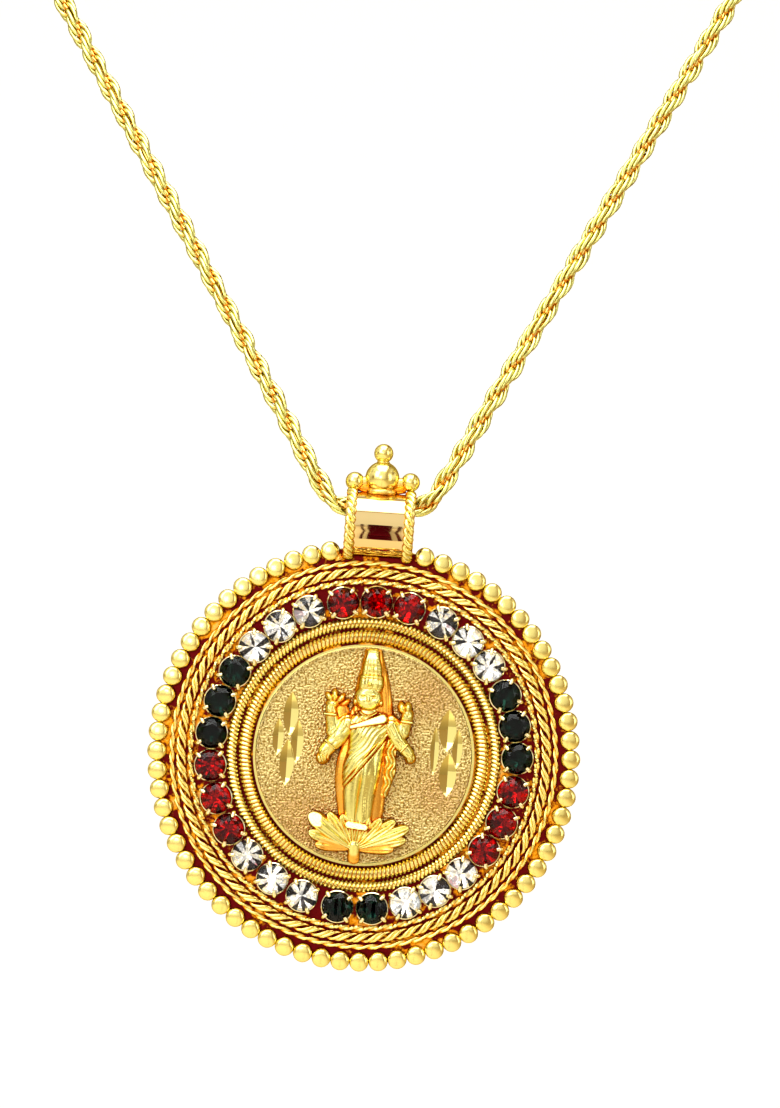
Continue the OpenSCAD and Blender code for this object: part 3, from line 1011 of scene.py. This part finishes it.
def crowned_head(x, y):
    """Forms of the veil, the head and the tall crown, each with the width of its crease."""
    veil, _ = column(x, y, VEIL)
    yield ridged(veil, 0.03 * np.cos((x + 0.1 * y) * TURN / 0.42), 0.2), 0.04
    for row in EARS:
        yield dome(x, y, *row), 0.04
    yield face(x, y), 0.05
    crown, across = column(x, y, CROWN, 0.06, 3.5)
    bow = y + 0.12 * across**2
    tiers = sum(rise * line(bow - place, width) for place, width, rise in TIERS)
    tiers = tiers + 0.07 * np.cos((bow - 9.3) * TURN / 0.72) * (bow > 9.6)
    tiers = tiers + 0.05 * np.cos(across * TURN * 2.4) * (bow > 7.9)
    crown = ridged(crown, tiers)
    crown = np.where(np.abs(bow - 11.65) < 0.42, polished(x, y, crown, 0.2, 11.7, 1.4), crown)
    brow = (y > 7.62 - 0.1 * (x - HEAD[0]) ** 2) | (crown < 0.01)
    yield crown * brow, 0.04
    for row in JEWELS:
        yield dome(x, y, *row), 0.03


def beaded(x, y, corners, radius, rise, beads):
    """A string of small beads along a bent line."""
    height = 0 * x
    for (ax, ay), (bx, by) in zip(corners, corners[1:]):
        for t in (np.arange(beads) + 0.5) / beads:
            bead = dome(x, y, ax + t * (bx - ax), ay + t * (by - ay), radius, radius, 0, rise)
            height = np.maximum(height, bead)
    return height


def dress_and_lotus(x, y):
    """Forms of the arms, the dress and the lotus, from the back ones to the front."""
    yield column(x, y, SIDES, flat=4.0)[0], CREASE
    yield limb(x, y, *SHOULDER), CREASE
    for sleeve in sleeves(x, y, REAR_ARMS):
        yield sleeve, CREASE
    for row in REAR_HANDS + BUDS:
        yield dome(x, y, *row), 0.04
    wave = 0.14 * np.cos((x + 0.25 * np.sin(y * 2.6)) * TURN / 0.5)
    yield ridged(bent_limb(x, y, SASH), wave, 0.2), CREASE
    yield dressed_body(x, y), 0.05
    for sleeve in sleeves(x, y, FRONT_ARMS):
        yield sleeve, CREASE
    fingers = 0.1 * np.cos((x * 0.85 + y * 0.35) * TURN / 0.36)
    for row in FRONT_HANDS:
        yield ridged(dome(x, y, *row), fingers), 0.05
    for x0, y0, x1, y1 in BANGLES:
        yield limb(x, y, x0, y0, *BANGLE_WIRE, x1, y1, *BANGLE_WIRE), 0.03
    for string in STRINGS:
        yield beaded(x, y, string, 0.17, 2.05, 3), 0.03
    yield polished(x, y, bent_limb(x, y, ROLL) * 1.3, 0.3, 3.95, 2.4), CREASE
    lotus = dome(x, y, *LOTUS_BED)
    for row in PETALS:
        lotus = meld(lotus, petal(x, y, *row), 0.03)
    tip = (x < -4.35) & (y > -8.6)
    yield np.where(tip, polished(x, y, lotus * 1.15, -5.0, -7.8, 1.45), lotus), CREASE
    yield limb(x, y, *STEM), CREASE
    yield polished(x, y, limb(x, y, *HEM), -0.2, -8.2, 2.0), CREASE


def relief_height(x, y):
    """Height of the whole figure over its disc, in millimetres."""
    height = 0 * x
    for forms in (crowned_head, dress_and_lotus):
        for form, crease in forms(x, y):
            height = meld(height, form, crease)
    return height


class NECKLACE_OT_figure(Operator):
    """Relief figure on a lotus, cast in one piece"""

    bl_idname = "necklace.figure"
    bl_label = "Relief figure"

    def execute(self, context):
        x, y = np.meshgrid(np.arange(-7.6, 8.0, RELIEF_STEP), np.arange(-12.7, 12.6, RELIEF_STEP))
        height = relief_height(x, y)
        solid = height > SUNK
        quads = np.array(grid_faces(*x.shape, False, False))
        quads = quads[solid.ravel()[quads].any(1)]
        used, faces = np.unique(quads, return_inverse=True)
        faces = faces.reshape(-1, 4)
        z = np.where(solid, DISC_Z + height, DISC_Z - SUNK)
        x, y, z = (grid.ravel()[used] * MM for grid in (x, y, z))
        # Painted shade: folds are dark where they lie under the blurred height, and so is what lies low
        wide = height.copy()
        for _ in range(6):
            wide[1:-1, 1:-1] = (wide[:-2, 1:-1] + wide[2:, 1:-1] + wide[1:-1, :-2] + wide[1:-1, 2:]) / 4
        low = np.clip((1.25 - height) / 0.45, 0, 0.62)
        depth = np.clip(np.maximum(9 * (wide - height) + 0.1, low), 0, 1).ravel()[used]
        shape = Shape()
        shape.add(points(x, y, z), faces.tolist(), depth)
        shape.add(points(x, y, (DISC_Z - SUNK) * MM), faces[:, ::-1].tolist(), 1.0)
        figure = shape.piece("relief_figure", [gold("cast_gold")], merge=True)
        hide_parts("figure")
        return {"FINISHED"}


class NECKLACE_OT_bail(Operator):
    """Barrel bail with twisted edges and granules on top"""

    bl_idname = "necklace.bail"
    bl_label = "Bail"

    def execute(self, context):
        shape = Shape()
        band = [(BORE_R, -BAND_HALF), (BAND_R - BAND_BEVEL, -BAND_HALF), (BAND_R, -BAND_HALF + BAND_BEVEL)]
        band += [(radius, -height) for radius, height in band[::-1]]
        corners, faces = revolve(np.array(band) * MM, 96, True)
        shape.add(sideways(corners, BAIL), [face[::-1] for face in faces])
        shape.piece("bail_band", [gold("band_gold")], sharp=40)
        self.edges()
        crown = self.crest().piece("bail_granules", [gold("bright_gold")], merge=True)
        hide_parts("bail")
        return {"FINISHED"}

    def edges(self):
        """A twisted wire on each edge of the band, with painted shade where it meets the band."""
        edges = Shape()
        for side in (-1, 1):
            twisted_ring(edges, 3.8, side * 3.4, 0.33, (0.16, 0.33), PAIR, 12, 240, 10)
        away = [np.hypot(ring[:, 0], ring[:, 1]) / MM for ring in edges.corners]
        edges.depths = [np.clip((4.12 - radius) / 0.35, 0, 0.85) for radius in away]
        edges.corners = [sideways(ring, BAIL) for ring in edges.corners]
        edges.piece("bail_edges", [gold("wire_gold")])

    def crest(self):
        """Granules on the band with their solder, and the wire rings they stand in."""
        crest = Shape()
        # Granules: x, rise over the bail's axis, radius
        for x, rise, radius in [(-0.05, 5.45, 2.0), (-3.2, 4.92, 1.1), (3.25, 5.2, 1.1), (-0.08, 8.36, 1.12)]:
            corners, faces = ball(radius * MM, 20)
            crest.add(corners + BAIL + np.array([x, rise, 0]) * MM, faces)
        # Solder: x and rise of both ends, radius, painted shade
        joints = [
            (-2.5, 4.9, -1.6, 5.0, 0.6, 0.45), (2.5, 5.1, 1.6, 5.0, 0.6, 0.45), (0, 3.6, 0, 4.2, 1.75, 0.6),
            (-2.7, 4.3, -1.2, 4.1, 0.5, 0.7), (2.75, 4.4, 1.2, 4.1, 0.5, 0.7),
        ]
        for x0, y0, x1, y1, solder, deep in joints:
            path = np.linspace((x0, y0, 0), (x1, y1, 0), 5) * MM + BAIL
            crest.add(*tube(path, solder * MM, 24, (0, 0, 1)), deep)
        around = np.arange(40) * TURN / 40
        # Wire rings: x, rise, radius, wire's radius
        for x, rise, ring_r, wire in [(0, 3.9, 1.6, 0.26), (-0.06, 7.32, 0.6, 0.16)]:
            path = points(x + ring_r * np.cos(around), rise, ring_r * np.sin(around)) * MM + BAIL
            # The wire rings carry some painted shade
            crest.add(*tube(path, wire * MM, 8, (0, 1, 0), closed=True), 0.4)
        return crest


def chain_path():
    """The whole route from one side of the clasp to the other, as close points on a smooth curve."""
    half = np.array(ROUTE) * MM
    route = np.concatenate([half[:0:-1] * [-1, 1, 1], half])
    last = len(route) - 1
    t = np.arange(16)[:, None] / 16
    fine = []
    for i in range(last):
        a, b, c, d = route[[max(i - 1, 0), i, i + 1, min(i + 2, last)]]
        cubic = (2 * a - 5 * b + 4 * c - d) * t * t + (3 * b - a - 3 * c + d) * t**3
        fine.append(0.5 * (2 * b + (c - a) * t + cubic))
    return np.concatenate([*fine, route[last:]])


def carried_frames(path):
    """Distance along a path, its direction, and two sides that turn as little as they can."""
    step = np.linalg.norm(np.diff(path, axis=0), axis=1)
    distance = np.concatenate([[0], np.cumsum(step)])
    along = np.gradient(path, axis=0)
    along /= np.linalg.norm(along, axis=1, keepdims=True)
    side = np.empty_like(path)
    side[0] = np.cross(along[0], [0, 0, 1.0])
    for i in range(1, len(path)):
        side[i] = side[i - 1] - side[i - 1].dot(along[i]) * along[i]
        side[i] /= np.linalg.norm(side[i])
    return distance, along, side, np.cross(along, side)


class NECKLACE_OT_rope_chain(Operator):
    """Rope chain of oval links, each turned a little past the one before"""

    bl_idname = "necklace.rope_chain"
    bl_label = "Rope chain"

    def execute(self, context):
        path = chain_path()
        distance, along, side, up = carried_frames(path)
        pitch = sizes().link_pitch
        wire = sizes().link_wire / 2
        half_width = sizes().link_width / 2 - wire
        pitches_long = 3.9
        half_length = pitches_long * pitch / 2
        clasp_gap = 2 * MM
        core_r = 0.42 * MM
        count = int((distance[-1] - clasp_gap) / pitch)
        places = (distance[-1] - (count - 1) * pitch) / 2 + np.arange(count) * pitch
        centres, aheads, sides, ups = (
            np.stack([np.interp(places, distance, values) for values in curve.T], 1)
            for curve in (path, along, side, up)
        )
        around = np.arange(16)[:, None] * TURN / 16
        lengthwise = half_length * np.cos(around)
        crosswise = half_width * np.sign(np.sin(around)) * np.abs(np.sin(around)) ** 0.9
        rng = np.random.default_rng(3)
        shape = Shape()
        for i in range(count):
            turn = places[i] * TURN / sizes().rope_turn + rng.normal(0, 0.09)
            out = math.cos(turn) * sides[i] + math.sin(turn) * ups[i]
            link = lengthwise * aheads[i] + crosswise * out
            corners, faces = tube(centres[i] + link, wire, 6, link, closed=True)
            # Painted shade: each link darkens towards the chain's middle
            away = np.linalg.norm(np.cross(corners - centres[i], aheads[i]), axis=1)
            shape.add(corners, faces, np.clip(1.3 - away / (0.8 * half_width), 0, 0.62))
        # A core wire along the middle, with painted shade, stands in for the shaded hollow inside the links
        core = slice(8, -8, 2)
        shape.add(*tube(path[core], core_r, 8, side[core]), 0.5)
        chain = shape.piece("rope_links", [gold("chain_gold")], "chain", "gold_chain")
        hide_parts("rope_chain")
        return {"FINISHED"}


class NECKLACE_OT_clasp(Operator):
    """Plain barrel clasp with ribbed ends"""

    bl_idname = "necklace.clasp"
    bl_label = "Clasp"

    def execute(self, context):
        end = [(0, -5.0), (1.2, -5.0), (1.35, -4.85), (1.35, -4.6), (1.7, -4.4), (1.9, -4.0), (1.72, -3.8)]
        end += [(1.95, -3.6), (2.0, -3.2), (1.98, -0.25), (1.85, -0.12), (1.85, 0)]
        profile = np.array(end + [(radius, -height) for radius, height in end[-2::-1]]) * MM
        corners, faces = revolve(profile, 64, False)
        low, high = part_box("clasp")
        shape = Shape()
        shape.add(sideways(corners, np.array((low + high) / 2)), faces)
        barrel = shape.piece("clasp_barrel", [gold("chain_gold")], "chain", "gold_chain", 35, True)
        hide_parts("clasp")
        return {"FINISHED"}


def staged_sheet(name, rows, material):
    """A sheet whose rows each go from a left x to a right x, at one y and z."""
    corners = [(x, y, z) for left, right, y, z in rows for x in (left, right)]
    mesh = bpy.data.meshes.new(name)
    mesh.from_pydata(corners, [], grid_faces(len(rows), 2, False, False))
    mesh.materials.append(material)
    mesh.shade_smooth()
    made = placed(name, mesh, Matrix())
    made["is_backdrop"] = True
    return made


def soft_light(name, place, aim, size, power):
    data = bpy.data.lights.new(name, "AREA")
    data.shape = "RECTANGLE"
    data.size, data.size_y = size
    data.energy = power
    facing = (Vector(aim) - Vector(place)).to_track_quat("-Z", "Y")
    placed(name, data, Matrix.Translation(place) @ facing.to_matrix().to_4x4())


class NECKLACE_OT_stage(Operator):
    """Pale table and backdrop, soft lights, sky and camera"""

    bl_idname = "necklace.stage"
    bl_label = "Stage"

    def execute(self, context):
        wide = 3.5
        staged_sheet("backdrop", [(-wide, wide, WALL_Y, -1.5), (-wide, wide, WALL_Y, 2.5)], paper_finish())
        staged_sheet("table", [(-wide, wide, -2.5, TABLE_Z), (-wide, wide, 1.0, TABLE_Z)], table_finish())
        aim = (0, -0.085, -0.12)
        soft_light("key_left", (-0.55, -0.75, 0.35), aim, (0.5, 0.7), 3.5)
        soft_light("key_front", (-0.2, -1.05, 0.05), aim, (0.25, 0.25), 0.8)
        soft_light("fill_right", (0.75, -0.6, 0.0), aim, (0.3, 0.7), 1.2)
        soft_light("top", (0.0, -0.35, 0.7), (0, -0.35, 0), (0.8, 0.9), 9.0)
        self.dark_strips()
        self.sky()
        self.camera()
        return {"FINISHED"}

    def dark_strips(self):
        """Strips on the table and up behind the camera, which the bail's band shows as a dark patch."""
        over = TABLE_Z + 0.002
        places = [(-0.00125, -0.84, -0.1024), (-0.0103, -0.84, over), (-0.0097, -0.522, over)]
        places.append((-0.00915, -0.2265, over))
        felt = dark_felt()
        for number, (shift, half) in enumerate([(0, 1.0), (-1.45, 0.12), (1.6, 0.16)]):
            rows = []
            for x, y, z in places:
                width = 0.00295 if y < -0.6 else 0.002
                rows.append((x + (shift - half) * width, x + (shift + half) * width, y, z))
            staged_sheet(f"dark_strip_{number}", rows, felt).visible_camera = False

    def sky(self):
        """A pale tent, brighter above and on the left, with warm dark openings off its front."""
        world = bpy.data.worlds.new("studio")
        bpy.context.scene.world = world
        n = Finish(world)
        towards = n.node("ShaderNodeTexCoord", output="Generated")
        parts = {"Vector": towards}
        across, away, up = (n.node("ShaderNodeSeparateXYZ", None, parts, axis) for axis in "XYZ")
        right = [(0.52, 0.85), (0.64, 0.75), (0.72, 0.35), (0.8, 0.35), (0.88, 0.8)]
        side = n.ramp(across * 0.5 + 0.5, [(0.0, 0.6), (0.2, 1.0), (0.4, 0.98), *right])
        height = n.ramp(up * 0.5 + 0.5, [(0.0, 0.5), (0.3, 0.6), (0.5, 0.85), (0.7, 1.0)])
        noise = n.node("ShaderNodeTexNoise", None, {"Vector": towards, "Scale": 3.0, "Detail": 1.0})
        gaps = (1 - noise.between(0.32, 0.5)) * away.between(-0.8, -0.66)
        light = side * height * (1 - gaps * 0.85)
        warm = [(0.0, (0.08, 0.03, 0.01)), (0.25, (0.34, 0.21, 0.1)), (0.5, (0.6, 0.52, 0.4))]
        colour = n.ramp(light, [*warm, (0.75, (0.88, 0.86, 0.8)), (1.0, (1.0, 1.0, 1.0))])
        back = n.node("ShaderNodeBackground", None, {"Color": colour, "Strength": 1.2})
        n.node("ShaderNodeOutputWorld", None, {"Surface": back}, output=None)

    def camera(self):
        """A long lens in front of the medallion, rolled a little as in the photograph."""
        data = bpy.data.cameras.new("camera")
        data.type = "PERSP"
        data.sensor_fit = "AUTO"
        data.sensor_width = 36
        data.lens = 200
        data.clip_start = 0.01
        data.clip_end = 20
        place = Vector((1.2 * MM, PIVOT.y - 0.7155, -109.3 * MM))
        roll = Matrix.Rotation(math.radians(1.35), 4, "Z")
        bpy.context.scene.camera = placed("camera", data, Matrix.Translation(place) @ UPRIGHT @ roll)
        bpy.context.scene.view_settings.view_transform = "Standard"


PIECES = [
    NECKLACE_OT_back_plate,
    NECKLACE_OT_border_granules,
    NECKLACE_OT_border_wires,
    NECKLACE_OT_wound_rings,
    NECKLACE_OT_settings,
    NECKLACE_OT_stones,
    NECKLACE_OT_disc,
    NECKLACE_OT_figure,
    NECKLACE_OT_bail,
    NECKLACE_OT_rope_chain,
    NECKLACE_OT_clasp,
    NECKLACE_OT_stage,
]


class NECKLACE_PT_panel(Panel):
    """Lists the necklace's sizes, finishes and pieces"""

    bl_idname = "NECKLACE_PT_panel"
    bl_label = "Temple Necklace"
    bl_space_type = "VIEW_3D"
    bl_region_type = "UI"
    bl_category = "Necklace"

    def draw(self, context):
        for group in (context.scene.necklace_sizes, context.scene.necklace_finishes):
            box = self.layout.box()
            for name in group.bl_rna.properties.keys():
                if name not in ("rna_type", "name"):
                    box.prop(group, name)
        for piece in PIECES:
            self.layout.operator(piece.bl_idname)


CLASSES = [NecklaceSizes, NecklaceFinishes, *PIECES, NECKLACE_PT_panel]


def register():
    for cls in CLASSES:
        bpy.utils.register_class(cls)
    bpy.types.Scene.necklace_sizes = PointerProperty(type=NecklaceSizes)
    bpy.types.Scene.necklace_finishes = PointerProperty(type=NecklaceFinishes)


def unregister():
    del bpy.types.Scene.necklace_finishes
    del bpy.types.Scene.necklace_sizes
    for cls in reversed(CLASSES):
        bpy.utils.unregister_class(cls)


def main():
    register()
    for piece in PIECES:
        group, name = piece.bl_idname.split(".")
        getattr(getattr(bpy.ops, group), name)()
    boxes = {"cad": CAD_BOX, "visual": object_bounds()}
    {key: [list(corner) for corner in box] for key, box in boxes.items()}


if __name__ == "__main__":
    main()
